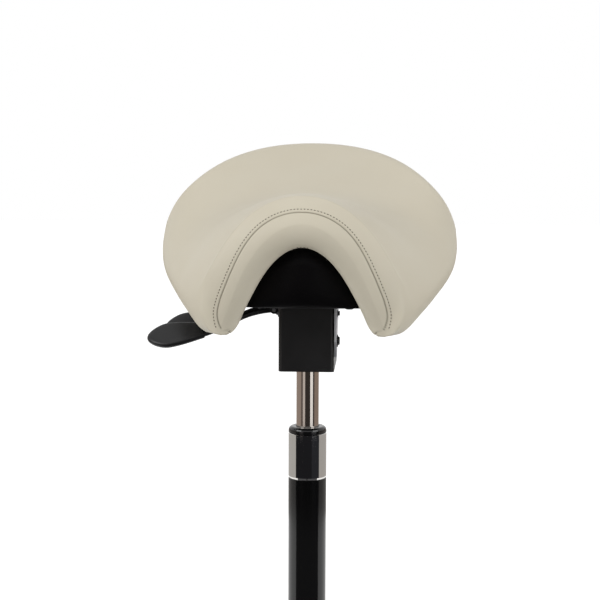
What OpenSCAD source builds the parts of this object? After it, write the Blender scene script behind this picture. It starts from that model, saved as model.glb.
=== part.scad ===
// Saddle stool: a moulded saddle seat on a tilting bracket, a gas lift and a five-legged castor base.
// Millimetres. The origin is on the floor under the column. +Z is up, the nose points to -Y
// and the two levers stick out to -X, at the sitter's right hand.

/* [Seat] */
// Height of the crest of the nose above the floor
crest_h = 715; // [690:1:760]
// Length of the seat's middle line, nose to back
seat_len = 362; // [330:1:400]
// How far the nose lies in front of the column
nose_reach = 176; // [160:1:195]
// Width of the seat over its widest lobes
seat_w = 386; // [350:1:420]
// Drop from the crest to the tips of the flaps
seat_drop = 172; // [150:1:190]
// Thickness of the padding in the middle
foam_t = 62; // [54:1:70]
// Thickness of the upholstery
cover_t = 1.6; // [1:0.1:2.5]
// Thickness of the moulded shell in the padding
shell_t = 8; // [5:0.5:10]
// Depth of the underpan's floor below the crest
pan_depth = 145; // [138:1:152]
// Wall of the underpan
pan_wall = 4; // [3:0.5:6]

/* [Tilt bracket] */
// Width of the bracket housing over its cheeks
housing_w = 72; // [68:1:80]
// Depth of the bracket housing, front to back
housing_l = 117; // [100:1:130]
// Height of the housing's front wall
housing_h = 83; // [76:1:86]
// Sheet thickness of the housing
sheet_t = 3; // [2:0.5:4]
// Distance from the housing's front to the column
front_reach = 45; // [42:1:48]
// Diameter of the tilt axle
axle_d = 6; // [5:0.5:8]
// Diameter of the clamp bolt
clamp_d = 8; // [6:0.5:10]
// Thickness of the seat plate
plate_t = 4; // [3:0.5:5]
// Furthest forward tilt of the seat
tilt_fwd = 10; // [4:1:12]
// Furthest backward tilt of the seat
tilt_back = 6; // [2:1:8]

/* [Levers] */
// Diameter of the lever rods
lever_d = 8; // [6:0.5:9]
// Reach of the height lever from the column
height_reach = 208; // [180:1:230]
// Reach of the tilt lever from the column
tilt_reach = 190; // [170:1:215]
// Length of a paddle
paddle_l = 76; // [68:1:88]
// Width of a paddle
paddle_w = 40; // [32:1:46]
// Thickness of a paddle
paddle_t = 9; // [7:0.5:12]

/* [Gas lift] */
// Outside diameter of the chromed cylinder
lift_d = 30; // [28:0.5:32]
// Wall of the cylinder
lift_wall = 2.5; // [2:0.25:3]
// Length of the cylinder
lift_len = 362; // [355:1:370]
// Diameter of the piston rod
rod_d = 10; // [8:0.5:12]
// Length of cylinder that shows above the column
show_len = 79; // [74:1:90]
// Diameter of the column's sleeves
column_d = 50; // [48:0.5:54]
// Height of the chromed collar
collar_h = 61; // [50:1:70]
// Outside diameter of the column tube
tube_d = 45; // [44:0.5:46]
// Wall of the column tube
tube_wall = 2; // [1.5:0.25:2.5]

/* [Base] */
// Radius of the circle of castors
base_r = 272; // [250:1:290]
// Height of the hub's top
hub_top = 135; // [125:1:145]
// Diameter of the hub
hub_d = 66; // [62:1:74]
// Width of a leg at the hub
leg_w = 46; // [40:1:50]
// Diameter of a leg's rounded tip
tip_d = 30; // [27:1:34]
// Wall of the base moulding
base_wall = 3.5; // [3:0.25:4.5]
// Diameter of a castor wheel
wheel_d = 50; // [46:1:54]
// Width of a castor wheel
wheel_w = 20; // [17:0.5:22]
// Distance of a castor's axle behind its stem
trail = 20; // [17:0.5:22]
// Diameter of a castor stem
stem_d = 11; // [10:0.5:12]
// Diameter of a castor's axle
wheel_axle_d = 6; // [5:0.5:7]

/* [Hidden] */

// Overrun of a cut past the face that it opens
over = 1;
// Gap between soft layers, and between pieces that swing past each other
soft_gap = 0.4;
// Gap between rigid pieces on different bodies
gap = 0.3;
// Radial clearance of a running fit
run_fit = 0.05;
$fn = 64;

// Seat surface. A middle surface of arches runs from the nose to the back. Each row of
// shares is read from the nose to the back.
mid_y_shares = [0, 0.18, 0.39, 0.60, 0.82, 1];
rim_y_shares = [0.07, 0.19, 0.32, 0.45, 0.58, 0.71];
half_w_shares = [0.53, 0.64, 0.755, 0.845, 0.895, 0.91];
mid_z_shares = [-0.19, -0.18, -0.24, -0.23, -0.05, 0.16];
rim_z_shares = [-1.15, -0.99, -0.87, -0.76, -0.66, -0.565];
thick_shares = [1.05, 1, 0.93, 0.87, 0.84, 0.81];
// Angle that each arch spans to a side, at the nose and at the back
arch_front = 70;
arch_back = 88;
// Squareness added to the arch at the back
back_bulge = 0.4;
// How the arches lean back towards their ends
lean_pow = 2.3;
// Rounding powers of the outline's corners
corner_front = 6;
corner_back = 4;
corner_outer = 24;
// Powers of the rolled rim: round all over, and a ridge with a slanting band at the nose
roll_pow = 2.4;
ridge_pow = 1.3;
// How sharply the roll passes from one rim to the next
rim_blend = 4;
// Length along the surface from the middle to a rim
half_span = 190;
// Length over which the rim rolls
roll_len = 30;
// Step for the surface's slope
slope_step = 0.001;
// Numbers of grid cells in the roll and in the flat part, across and along
roll_n = 3;
flat_na = 8;
flat_nb = 5;
na = 2 * (roll_n + flat_na);
nb = 2 * (roll_n + flat_nb);

function spline(v, t) =
    let (n = len(v) - 1, x = min(max(t, 0), 1) * n, i = min(n - 1, floor(x)), f = x - i,
         p1 = v[i], p2 = v[i + 1],
         p0 = i > 0 ? v[i - 1] : 2 * p1 - p2,
         p3 = i + 2 <= n ? v[i + 2] : 2 * p2 - p1)
    0.5 * (2 * p1 + (p2 - p0) * f + (2 * p0 - 5 * p1 + 4 * p2 - p3) * f * f
           + (3 * p1 - p0 - 3 * p2 + p3) * f * f * f);

// Point of the middle surface: a runs across from -1 to 1, t from the nose (0) to the back (1)
function seat_mid(a, t) =
    let (yc = spline(mid_y_shares, t) * seat_len - nose_reach,
         yr = spline(rim_y_shares, t) * seat_len - nose_reach,
         w = spline(half_w_shares, t) * seat_w / 2,
         zc = spline(mid_z_shares, t) * seat_drop,
         zr = spline(rim_z_shares, t) * seat_drop,
         span = arch_front + (arch_back - arch_front) * t,
         k = back_bulge * t,
         ang = a * span,
         sx = sin(ang) * (1 + k * pow(cos(ang), 2)) / (sin(span) * (1 + k * pow(cos(span), 2))),
         fall = (1 - cos(ang)) / (1 - cos(span)),
         lean = pow(abs(sx), lean_pow))
    [w * sx, yc + (yr - yc) * lean, crest_h + zc + (zr - zc) * fall];

// Rounds the corners of the square -1 to 1
function round_corner(a, b) =
    let (m = max(abs(a), abs(b)))
    m < slope_step ? [a, b] :
    let (u = abs(a) / m, v = abs(b) / m, p = b < 0 ? corner_front : corner_back,
         q = pow(pow(u, corner_outer) + pow(v, corner_outer), 1 / corner_outer)
             / pow(pow(u, p) + pow(v, p), 1 / p))
    [a * q, b * q];

function unit(v) = v / norm(v);

function seat_normal(a, t) =
    unit(cross(seat_mid(a + slope_step, t) - seat_mid(a - slope_step, t),
               seat_mid(a, min(1, t + slope_step)) - seat_mid(a, max(0, t - slope_step))));

// Height of the rolled rim as a share of half the thickness, where d is the distance from the rim
function roll(d, r, power) = pow(1 - pow(1 - min(d / r, 1), power), 1 / power);

// Point of a layer of the seat: side is 1 on top and -1 below, inset is its depth in the padding
function seat_point(a, b, side, inset) =
    let (ab = round_corner(a, b), s = 1 - inset / half_span,
         am = ab[0] * s, t = (ab[1] * s + 1) / 2,
         r = spline(thick_shares, t) * foam_t / 2,
         da = max((1 - abs(a)) * half_span, slope_step),
         df = max((1 + b) * half_span, slope_step),
         db = max((1 - b) * half_span, slope_step),
         ia = pow(da, -rim_blend), fa = pow(df, -rim_blend), ba = pow(db, -rim_blend),
         d = pow(ia + fa + ba, -1 / rim_blend),
         nose = side > 0 ? fa / (ia + fa + ba) : 0,
         edge = min(abs(a) < 1 ? 1 : 0, abs(b) < 1 ? 1 : 0),
         h = edge * (r - inset) * roll(d, r, roll_pow + (ridge_pow - roll_pow) * nose))
    seat_mid(am, t) + side * h * seat_normal(am, t);

// Places of the grid lines from -1 to 1, close together in the roll
function grid_lines(flat_n) =
    let (s = roll_len / half_span,
         low = [for (i = [0:roll_n - 1]) -1 + s * (1 - cos(90 * i / roll_n))],
         flat = [for (i = [0:flat_n - 1]) (-1 + s) * (1 - i / flat_n)],
         half = concat(low, flat))
    concat(half, [0], [for (i = [len(half) - 1:-1:0]) -half[i]]);
lines_a = grid_lines(flat_na);
lines_b = grid_lines(flat_nb);

function layer(side, inset, shrink = 1) =
    [for (i = [0:na], j = [0:nb]) seat_point(lines_a[i] * shrink, lines_b[j] * shrink, side, inset)];
function at(i, j) = i * (nb + 1) + j;
layer_n = (na + 1) * (nb + 1);
function on_rim(i, j) = i == 0 || i == na || j == 0 || j == nb;
// Index in layer k, where the rim of a lower layer is the rim of its upper layer
function at_layer(i, j, k, rim_k) = (on_rim(i, j) ? rim_k : k) * layer_n + at(i, j);
// Two triangles of a cell, whose diagonal points to the nearest corner of the grid
function cell(i, j, k, rim_k, up) =
    let (p = at_layer(i, j, k, rim_k), q = at_layer(i + 1, j, k, rim_k),
         r = at_layer(i + 1, j + 1, k, rim_k), s = at_layer(i, j + 1, k, rim_k),
         tris = (i < na / 2) == (j < nb / 2) ? [[p, r, q], [p, s, r]] : [[p, s, q], [q, s, r]])
    up ? tris : [for (t = tris) [t[0], t[2], t[1]]];
// Cells of a layer from row lo inwards, without those from row hi inwards
function cells(k, rim_k, up, lo, hi) =
    [for (i = [lo:na - 1 - lo], j = [lo:nb - 1 - lo])
        if (i < hi || i > na - 1 - hi || j < hi || j > nb - 1 - hi) each cell(i, j, k, rim_k, up)];
// Loop of grid places on row m, once round
function loop_at(m) = concat(
    [for (i = [m:na - m - 1]) [i, m]],
    [for (j = [m:nb - m - 1]) [na - m, j]],
    [for (i = [na - m:-1:m + 1]) [i, nb - m]],
    [for (j = [nb - m:-1:m + 1]) [m, j]]);
// Strip between the same loop of two layers
function strip(m, k1, k2) =
    let (l = loop_at(m), n = len(l))
    [for (i = [0:n - 1])
        let (p = at(l[i][0], l[i][1]), q = at(l[(i + 1) % n][0], l[(i + 1) % n][1]))
        each [[k1 * layer_n + p, k1 * layer_n + q, k2 * layer_n + q],
              [k1 * layer_n + p, k2 * layer_n + q, k2 * layer_n + p]]];
whole = na;

// Rows of the grid where the shell begins and where the cover's tuck ends
shell_row = roll_n;
tuck_row = roll_n + 1;
foam_inset = cover_t + soft_gap;
pocket_inset = foam_inset + shell_t + soft_gap;
// How far the shell's edge stays from the side of its pocket
shell_edge_gap = 2.5;
// Gap between the underside and the tray's edge, which crosses the seat's facets
pan_edge_gap = 1.2;
seat_colour = [0.80, 0.77, 0.69];
black = [0.09, 0.09, 0.10];

module seat_cover() {
    color(seat_colour)
    polyhedron(
        points = concat(layer(1, 0), layer(-1, 0), layer(1, cover_t), layer(-1, cover_t)),
        faces = concat(cells(0, 0, true, 0, whole), cells(1, 0, false, 0, tuck_row),
                       cells(2, 2, false, 0, whole), cells(3, 2, true, 0, tuck_row),
                       strip(tuck_row, 1, 3)),
        convexity = 8);
}

module seat_foam() {
    color([0.86, 0.80, 0.62])
    polyhedron(
        points = concat(layer(1, foam_inset), layer(-1, foam_inset), layer(-1, pocket_inset)),
        faces = concat(cells(0, 0, true, 0, whole), cells(1, 0, false, 0, shell_row),
                       cells(2, 2, false, shell_row, whole), strip(shell_row, 1, 2)),
        convexity = 8);
}

module seat_shell() {
    shrink = 1 - (soft_gap + shell_edge_gap) / half_span;
    color([0.16, 0.15, 0.15])
    polyhedron(
        points = concat(layer(-1, foam_inset, shrink), layer(-1, pocket_inset - soft_gap, shrink)),
        faces = concat(cells(0, 0, false, shell_row, whole), cells(1, 1, true, shell_row, whole),
                       [for (t = strip(shell_row, 0, 1)) [t[0], t[2], t[1]]]),
        convexity = 6);
}

// Underpan: a tray that hangs under the shell, with a flat floor for the seat plate
pan_z = crest_h - pan_depth;
pan_half_w = 92;
pan_front = 112;
pan_back = 104;
// Power of the tray's curved wall, and how many bands it has
pan_pow = 3.2;
pan_bands = 4;
// Place of the tray's edge between the two rows that carry it
pan_share = 0.5;
pan_loop = loop_at(tuck_row);
pan_n = len(pan_loop);
function outward(i, j) = [i == tuck_row ? i - 1 : i == na - tuck_row ? i + 1 : i,
                          j == tuck_row ? j - 1 : j == nb - tuck_row ? j + 1 : j];
function under_point(i, j, inset) = seat_point(lines_a[i], lines_b[j], -1, inset);
// Upper edge of the tray, just clear of the cover's tuck
function pan_top(k, depth, share) =
    let (p = pan_loop[k], q = outward(p[0], p[1]))
    under_point(p[0], p[1], depth) * (1 - share) + under_point(q[0], q[1], depth) * share;
function pan_floor(k, wall) =
    let (p = pan_loop[k], ab = round_corner(lines_a[p[0]] / lines_a[na - tuck_row],
                                            lines_b[p[1]] / lines_b[nb - tuck_row]),
         l = (pan_front + pan_back) / 2)
    [ab[0] * (pan_half_w - wall), (pan_back - pan_front) / 2 + ab[1] * (l - wall), pan_z + wall];
// Bands of the wall: upright at the top, round at the foot
function pan_band(wall, s) =
    let (c = pow(cos(90 * s), 2 / pan_pow), n = pow(sin(90 * s), 2 / pan_pow),
         share = pan_share - wall / roll_len)
    [for (k = [0:pan_n - 1])
        let (t = pan_top(k, -pan_edge_gap, share), f = pan_floor(k, wall))
        [f[0] + (t[0] - f[0]) * c, f[1] + (t[1] - f[1]) * c, t[2] + (f[2] - t[2]) * n]];
function pan_wall_faces(from, flip) =
    [for (m = [0:pan_bands - 1], k = [0:pan_n - 1])
        let (p = from + m * pan_n + k, q = from + m * pan_n + (k + 1) % pan_n,
             t = [[p, q, q + pan_n], [p, q + pan_n, p + pan_n]])
        each flip ? [for (x = t) [x[0], x[2], x[1]]] : t];

module pan_tray() {
    outer = [for (m = [0:pan_bands]) each pan_band(0, m / pan_bands)];
    inner = [for (m = [0:pan_bands]) each pan_band(pan_wall, m / pan_bands)];
    n = len(outer);
    rim = [for (k = [0:pan_n - 1]) let (q = (k + 1) % pan_n)
           each [[k, n + q, q], [k, n + k, n + q]]];
    polyhedron(
        points = concat(outer, inner),
        faces = concat(pan_wall_faces(0, false), pan_wall_faces(n, true), rim,
                       [[for (k = [0:pan_n - 1]) n - pan_n + k]],
                       [[for (k = [pan_n - 1:-1:0]) 2 * n - pan_n + k]]),
        convexity = 6);
}

// Bolts that hold the seat plate to the underpan
bolt_x = 56;
bolt_y = 60;
bolt_d = 8;
insert_d = 12;
boss_d = 20;
boss_h = 18;
bolt_len = 20;
bolt_head_d = 14;
bolt_head_h = 4;
hex_d = 5.8;
hex_sink = 2.5;
hex_n = 6;
module at_bolts() {
    for (x = [-bolt_x, bolt_x], y = [-bolt_y, bolt_y]) translate([x, y, 0]) children();
}

module under_pan() {
    color(black)
    difference() {
        union() {
            pan_tray();
            at_bolts() translate([0, 0, pan_z + pan_wall - over]) cylinder(d = boss_d, h = boss_h + over);
        }
        at_bolts() translate([0, 0, pan_z - over]) cylinder(d = insert_d, h = pan_wall + boss_h + 2 * over);
    }
}

module pan_inserts() {
    color([0.78, 0.66, 0.36])
    at_bolts() translate([0, 0, pan_z])
    difference() {
        cylinder(d = insert_d, h = pan_wall + boss_h);
        translate([0, 0, -over]) cylinder(d = bolt_d, h = pan_wall + boss_h + 2 * over);
    }
}

module seat_bolts() {
    color([0.2, 0.2, 0.22])
    at_bolts() translate([0, 0, pan_z - plate_t])
    difference() {
        union() {
            translate([0, 0, -bolt_head_h])
                cylinder(d1 = bolt_head_d - bolt_head_h, d2 = bolt_head_d, h = bolt_head_h);
            cylinder(d = bolt_d, h = bolt_len);
        }
        translate([0, 0, -bolt_head_h - over]) cylinder(d = hex_d, h = hex_sink + over, $fn = hex_n);
    }
}

// Housing, seat plate and tilt axle
plate_z = pan_z - plate_t;
plate_gap = 6;
housing_top = plate_z - plate_gap;
housing_z = housing_top - housing_h;
cheek_x = housing_w / 2;
corner_r = 5;
axle_y = -30;
axle_drop = 14;
axle_z = plate_z - axle_drop;
// The cheeks fall away at the back, so that the plate can tilt
rear_fall = 15;
rear_rise = 24;
clamp_y = axle_y;
clamp_drop = 36;
clamp_z = axle_z - clamp_drop;
ear_r = 9;
ear_t = 3;
ear_x = cheek_x - sheet_t - soft_gap - ear_t;

// A plate in the plane of Y and Z, from x to x + t
module side_plate(x, t) {
    translate([x, 0, 0]) rotate([90, 0, 90]) linear_extrude(t) children();
}

// Plate outline with round corners
module round_plate_2d(w, l, r) {
    union() {
        translate([-w / 2 + r, -l / 2]) square([w - 2 * r, l]);
        translate([-w / 2, -l / 2 + r]) square([w, l - 2 * r]);
        for (x = [-w / 2 + r, w / 2 - r], y = [-l / 2 + r, l / 2 - r]) translate([x, y]) circle(r);
    }
}

module housing_plan(t) {
    w = housing_w - 2 * t;
    r = corner_r - t;
    translate([-w / 2 + r, -front_reach + t]) square([w - 2 * r, r + over]);
    translate([-w / 2, -front_reach + t + r]) square([w, housing_l - r - t + (t > 0 ? over : 0)]);
    for (x = [-w / 2 + r, w / 2 - r]) translate([x, -front_reach + t + r]) circle(r);
}

// Lever pivots at the left cheek
pivot_out = 8;
pivot_drop = 8;
pivot_x = -cheek_x - pivot_out;
pivot_z = housing_top - pivot_drop;
pivot_d = 5;
lug_t = 2.5;
lug_r = 5;
eye_w = 11;
eye_r = 5.5;
lug_gap = soft_gap;
// The height lever crosses the column's middle line, and the tilt lever lies behind it
height_lever_y = 0;
tilt_lever_y = height_lever_y + eye_w + 2 * lug_gap + 2 * lug_t + 3 * lug_gap;
// Notches in the cheek's top edge, which the levers' bars pass through
notch_w = 14;
notch_low = 7;
module at_levers() {
    for (y = [tilt_lever_y, height_lever_y]) translate([pivot_x, y, pivot_z]) children();
}

// Zinc-plated slotted plate beside the right cheek
sector_t = 3;
sector_x = cheek_x + gap;
// Hole along X for an axle or bolt, through both cheeks and the plate beside them
module cheek_hole(y, z, d) {
    translate([0, y, z]) rotate([0, 90, 0]) cylinder(d = d, h = 2 * (sector_x + sector_t + over), center = true);
}

taper_d = lift_d;
taper_fall = 1.6;
socket_wall = 6;
socket_h = 57;
socket_d = taper_d + 2 * socket_wall;

module mechanism_housing() {
    side_back = housing_l - front_reach + over;
    color(black)
    difference() {
        union() {
            difference() {
                translate([0, 0, housing_z]) linear_extrude(housing_h) housing_plan(0);
                translate([0, 0, housing_z + sheet_t]) linear_extrude(housing_h) housing_plan(sheet_t);
            }
            // Lugs that carry the lever pins
            at_levers() for (s = [-1, 1])
                translate([0, s * (eye_w / 2 + lug_gap + lug_t / 2), 0]) lever_lug();
        }
        // Sloping top and lower back corner of the cheeks
        side_plate(-cheek_x - over, housing_w + 2 * over) polygon([
            [0, housing_top], [side_back, housing_top - rear_fall],
            [side_back, housing_top + over], [0, housing_top + over]]);
        side_plate(-cheek_x - over, housing_w + 2 * over) polygon([
            [side_back, housing_z - over], [side_back, housing_z + rear_rise],
            [side_back - rear_rise - over, housing_z - over]]);
        cheek_hole(axle_y, axle_z, axle_d);
        cheek_hole(clamp_y, clamp_z, clamp_d + 2 * run_fit);
        translate([0, 0, housing_z - over]) cylinder(d = socket_d, h = sheet_t + 2 * over);
        at_levers() translate([0, -notch_w / 2, -notch_low])
            cube([-pivot_x - ear_x + ear_t, notch_w, notch_low + pivot_drop + over]);
        at_levers() rotate([90, 0, 0])
            cylinder(d = pivot_d, h = eye_w + 4 * lug_t, center = true);
    }
}

module lever_lug() {
    rotate([90, 0, 0]) union() {
        cylinder(r = lug_r, h = lug_t, center = true);
        translate([0, -lug_r, -lug_t / 2]) cube([-pivot_x - cheek_x, 2 * lug_r, lug_t]);
    }
}

module taper_socket() {
    color([0.35, 0.35, 0.37])
    translate([0, 0, housing_z])
    difference() {
        cylinder(d = socket_d, h = socket_h);
        translate([0, 0, -over])
            cylinder(d1 = taper_d + taper_fall * over / socket_h,
                     d2 = taper_d - taper_fall * (socket_h + over) / socket_h, h = socket_h + 2 * over);
    }
}

plate_w = 138;
plate_l = 146;
plate_r = 12;
module seat_plate() {
    color(black)
    difference() {
        union() {
            translate([0, 0, plate_z]) linear_extrude(plate_t) round_plate_2d(plate_w, plate_l, plate_r);
            for (x = [ear_x, -ear_x - ear_t]) side_plate(x, ear_t) union() {
                translate([axle_y, axle_z]) circle(r = ear_r);
                translate([axle_y - ear_r, axle_z]) square([2 * ear_r, axle_drop]);
            }
        }
        cheek_hole(axle_y, axle_z, axle_d + 2 * run_fit);
        at_bolts() translate([0, 0, plate_z - over]) cylinder(d = bolt_d, h = plate_t + 2 * over);
        translate([0, 0, plate_z]) for (y = sector_screw_y)
            translate([sector_screw_x, y, -over]) cylinder(d = sector_screw_d, h = plate_t + 2 * over);
    }
}

// Outline of the slotted plate, in the plane of Y and Z
sector_front = -45;
sector_back = 22;
sector_low_back = -14;
sector_tip = 20;
sector_flange = 20;
sector_r = 6;
// Distance from the plate's inner face to its screws
sector_screw_out = 13;
sector_screw_x = sector_x + sector_screw_out;
sector_screw_y = [-32, 10];
sector_screw_d = 4;
sector_screw_len = 7;
sector_head_d = 8;
sector_head_h = 2;
slot_spare = 1;
slot_n = 12;
// Place at a radius and an angle round the axle, where 0 is straight down
function round_the_axle(r, a) = [axle_y, axle_z] + r * [sin(a), -cos(a)];
// Slot along the clamp bolt's arc
module arc_slot_2d(d) {
    from = -tilt_fwd - slot_spare;
    to = tilt_back + slot_spare;
    polygon(concat(
        [for (k = [0:slot_n]) round_the_axle(clamp_drop - d / 2, from + (to - from) * k / slot_n)],
        [for (k = [slot_n:-1:0]) round_the_axle(clamp_drop + d / 2, from + (to - from) * k / slot_n)]));
    for (a = [from, to]) translate(round_the_axle(clamp_drop, a)) circle(d = d);
}

module tilt_sector() {
    color([0.75, 0.75, 0.74])
    difference() {
        union() {
            side_plate(sector_x, sector_t) union() {
                polygon([[sector_front, plate_z], [sector_back, plate_z],
                         [sector_back, axle_z - sector_r], [sector_low_back, clamp_z],
                         [sector_low_back - sector_r, clamp_z - sector_tip],
                         [sector_front + sector_r, clamp_z - sector_tip], [sector_front, clamp_z]]);
            }
            translate([sector_x, sector_front, plate_z - sector_t])
                cube([sector_flange, sector_back - sector_front, sector_t]);
        }
        cheek_hole(axle_y, axle_z, axle_d + 2 * run_fit);
        side_plate(sector_x - over, sector_t + 2 * over) arc_slot_2d(clamp_d + 2 * gap);
        for (y = sector_screw_y) translate([sector_screw_x, y, plate_z - sector_t - over])
            cylinder(d = sector_screw_d, h = sector_t + 2 * over);
    }
}

module sector_screws() {
    color([0.7, 0.7, 0.7])
    for (y = sector_screw_y) translate([sector_screw_x, y, plate_z - sector_t]) {
        cylinder(d = sector_screw_d, h = sector_screw_len);
        translate([0, 0, -sector_head_h])
            cylinder(d1 = sector_head_d - sector_head_h, d2 = sector_head_d, h = sector_head_h);
    }
}

// Tilt axle with a clip in a groove at each end
axle_end = 4;
clip_t = 1.2;
// Width of a clip's ring outside its shaft
clip_ring = 2.5;
clip_d = axle_d + 2 * clip_ring;
groove = 0.6;
axle_right = sector_x + sector_t + gap + clip_t + axle_end / 2;
axle_left = -cheek_x - gap - clip_t - axle_end / 2;
module tilt_axle() {
    color([0.15, 0.15, 0.16])
    difference() {
        translate([axle_left, axle_y, axle_z]) rotate([0, 90, 0]) cylinder(d = axle_d, h = axle_right - axle_left);
        clip_rings(axle_d + over, axle_d - 2 * groove);
    }
}
module clip_rings(outer, inner) {
    for (x = [axle_left + axle_end / 2, axle_right - axle_end / 2 - clip_t])
        translate([x, axle_y, axle_z]) rotate([0, 90, 0]) difference() {
            cylinder(d = outer, h = clip_t);
            translate([0, 0, -over]) cylinder(d = inner, h = clip_t + 2 * over);
        }
}
module axle_clips() {
    color([0.5, 0.5, 0.5]) clip_rings(clip_d, axle_d - 2 * groove);
}

// Clamp bolt through the slot and both cheeks, turned by the threaded arm inside the housing
clamp_head_d = 12;
clamp_head_h = 2.2;
washer_t = 1;
washer_d = 16;
arm_w = 7;
// Gap between the arm and the left cheek
arm_gap = 2;
arm_x = -cheek_x + sheet_t + arm_gap;
arm_r = 7;
arm_t = 6;
arm_len = tilt_lever_y - clamp_y + arm_t;
module clamp_bolt() {
    right = sector_x + sector_t + gap;
    color([0.12, 0.12, 0.13])
    translate([0, clamp_y, clamp_z]) rotate([0, 90, 0])
    difference() {
        union() {
            translate([0, 0, -cheek_x]) cylinder(d = clamp_d, h = right + cheek_x + washer_t);
            translate([0, 0, right]) cylinder(d = washer_d, h = washer_t);
            translate([0, 0, right + washer_t])
                cylinder(d1 = clamp_head_d, d2 = clamp_head_d - clamp_head_h, h = clamp_head_h);
        }
        translate([0, 0, right + washer_t + clamp_head_h - hex_sink])
            cylinder(d = hex_d, h = hex_sink + over, $fn = hex_n);
    }
}
module clamp_arm() {
    color([0.45, 0.45, 0.47])
    difference() {
        side_plate(arm_x, arm_w) union() {
            translate([clamp_y, clamp_z]) circle(r = arm_r);
            translate([clamp_y, clamp_z - arm_t / 2]) square([arm_len - arm_t / 2, arm_t]);
            translate([clamp_y + arm_len - arm_t / 2, clamp_z]) circle(d = arm_t);
        }
        translate([arm_x - over, clamp_y, clamp_z]) rotate([0, 90, 0]) cylinder(d = clamp_d, h = arm_w + 2 * over);
    }
}

module lever_pins() {
    color([0.6, 0.6, 0.6])
    at_levers() rotate([90, 0, 0])
        cylinder(d = pivot_d, h = eye_w + 2 * lug_gap + 3 * lug_t, center = true);
}

// Levers. Each has an eye on its pin, a bar inside the housing and a bent rod outside.
bar_h = 5;
bar_w = 8;
paddle_tilt = 38;
paddle_slope = 9;
rod_in_paddle = 26;
// Places along the outer rod, as shares of the way from the eye to the paddle and of its drop
rod_way_shares = [0, 0.18, 0.36, 0.54, 0.76, 1];
rod_drop_shares = [0, 0.06, 0.2, 0.44, 0.76, 1];
height_drop = 33;
tilt_drop = 27;
height_paddle_y = -28;
tilt_paddle_y = 26;
rod_n = 14;
rod_sides = 16;
// Where the rod starts inside the eye, as a share of the way
rod_start = 0.02;
// Place on the bent rod, from the eye (0) to its end in the paddle (1)
function rod_point(reach, drop, y0, y1, t) =
    let (x1 = -reach + paddle_l - rod_in_paddle / 2, way = spline(rod_way_shares, t))
    [pivot_x + (x1 - pivot_x) * way, y0 + (y1 - y0) * way, pivot_z - drop * spline(rod_drop_shares, t)];
function rod_ring(reach, drop, y0, y1, t) =
    let (way = unit(rod_point(reach, drop, y0, y1, min(1, t + slope_step))
                    - rod_point(reach, drop, y0, y1, max(0, t - slope_step))),
         v = unit(cross(way, [0, 0, 1])), w = cross(v, way), p = rod_point(reach, drop, y0, y1, t))
    [for (k = [0:rod_sides - 1])
        let (a = 360 * k / rod_sides) p + lever_d / 2 * (cos(a) * v + sin(a) * w)];
module bent_rod(reach, drop, y0, y1, from) {
    points = [for (m = [0:rod_n]) each rod_ring(reach, drop, y0, y1, from + (1 - from) * m / rod_n)];
    sides = [for (m = [0:rod_n - 1], k = [0:rod_sides - 1])
             let (p = m * rod_sides + k, q = m * rod_sides + (k + 1) % rod_sides)
             each [[p, q, q + rod_sides], [p, q + rod_sides, p + rod_sides]]];
    polyhedron(points = points,
               faces = concat(sides, [[for (k = [rod_sides - 1:-1:0]) k]],
                              [[for (k = [0:rod_sides - 1]) rod_n * rod_sides + k]]),
               convexity = 4);
}

module lever(reach, drop, y0, y1, bar_end, finger) {
    difference() {
        union() {
            translate([pivot_x, y0, pivot_z]) rotate([90, 0, 0]) cylinder(r = eye_r, h = eye_w, center = true);
            bent_rod(reach, drop, y0, y1, rod_start);
            translate([pivot_x, y0 - bar_w / 2, pivot_z - bar_h / 2]) cube([bar_end - pivot_x, bar_w, bar_h]);
            if (finger > 0)
                translate([bar_end - bar_h, y0 - bar_w / 2, pivot_z - finger]) cube([bar_h, bar_w, finger]);
        }
        translate([pivot_x, y0, pivot_z]) rotate([90, 0, 0])
            cylinder(d = pivot_d + 2 * run_fit, h = eye_w + 2 * over, center = true);
    }
}

// Finger of the tilt lever, down to the clamp's arm
finger_len = pivot_z - clamp_z - arm_t / 2 - soft_gap;
// How far the finger stands off the arm's middle, so that it stays clear of the cheek
finger_shift = 1;
finger_x = arm_x + (arm_w + bar_h) / 2 + finger_shift;
// How far the height lever's bar passes the middle of the valve pin
bar_pass = 3.5;
module tilt_lever_rod() {
    color([0.13, 0.13, 0.14])
    lever(tilt_reach, tilt_drop, tilt_lever_y, tilt_paddle_y, finger_x, finger_len);
}
module height_lever_rod() {
    color([0.13, 0.13, 0.14])
    lever(height_reach, height_drop, height_lever_y, height_paddle_y, bar_pass, 0);
}

// Paddle: a leaf-shaped blade with a crowned face, thicker where the rod goes in
leaf_n = 28;
// Half width along the blade, as shares of half the blade's width, at even steps of the square root
// of the way from the tip to the rod, which rounds the tip
leaf_shares = [0, 0.19, 0.38, 0.58, 0.76, 0.92, 1, 0.97, 0.86, 0.69, 0.45];
function leaf_point(k, s, z) =
    let (u = abs(1 - 2 * k / leaf_n), way = (1 + cos(180 * u)) / 2, side = k < leaf_n / 2 ? 1 : -1)
    [way * paddle_l * s + paddle_l * (1 - s) / 2, side * spline(leaf_shares, sqrt(way)) * paddle_w / 2 * s, z];
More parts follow.
